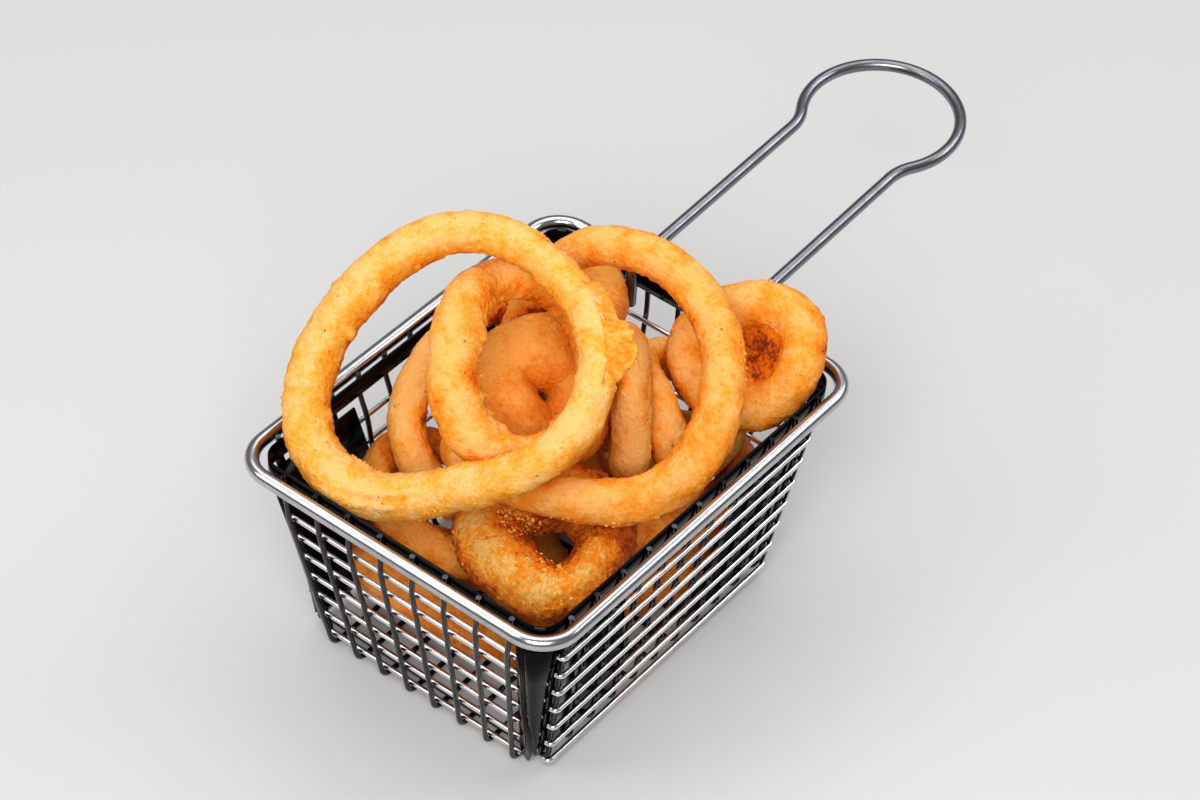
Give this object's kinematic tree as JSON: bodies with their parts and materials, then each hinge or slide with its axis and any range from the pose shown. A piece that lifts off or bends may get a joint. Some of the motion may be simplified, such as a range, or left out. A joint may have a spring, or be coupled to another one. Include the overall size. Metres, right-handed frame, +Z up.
{
  "type": "onion rings side",
  "caption": "Battered onion rings heaped in a small chrome wire serving basket with a long loop handle.",
  "frame": {"origin": "under the middle of the whole object's box, on the plane that the basket stands on", "axes": "+Y along the handle, away from the basket; +X across the basket's width; +Z up"},
  "size_m": [0.1092, 0.2422, 0.12],
  "materials": {
    "wire": "polished",
    "sheet": "polished",
    "batter_pale": "crisp fried batter, pale gold",
    "batter_golden": "crisp fried batter, golden",
    "batter_deep": "crisp fried batter, deep golden"
  },
  "bodies": {
    "root": {"rim": "wire", "band": "sheet", "handle": "wire", "grid_front": "wire", "grid_right": "wire", "grid_back": "wire", "grid_left": "wire", "lengthwise_1": "wire", "lengthwise_2": "wire", "lengthwise_3": "wire", "lengthwise_4": "wire", "lengthwise_5": "wire", "lengthwise_6": "wire", "lengthwise_7": "wire", "lengthwise_8": "wire", "crosswise_1": "wire", "crosswise_2": "wire", "crosswise_3": "wire", "crosswise_4": "wire", "crosswise_5": "wire", "crosswise_6": "wire", "crosswise_7": "wire", "crosswise_8": "wire", "crosswise_9": "wire", "crosswise_10": "wire", "crosswise_11": "wire", "corner_front_left": "sheet", "corner_front_right": "sheet", "corner_back_left": "sheet", "corner_back_right": "sheet", "ring_top": "batter_pale", "ring_inner": "batter_golden", "ring_leaning": "batter_golden", "ring_thick": "batter_golden", "ring_far_corner": "batter_golden", "ring_near_corner": "batter_golden", "ring_slice_a": "batter_golden", "ring_slice_b": "batter_golden", "ring_edge": "batter_golden", "ring_back": "batter_deep", "ring_front": "batter_deep", "ring_side": "batter_deep", "ring_low_middle": "batter_deep", "ring_low_front": "batter_deep", "ring_low_back": "batter_deep"}
  },
  "joints": []
}
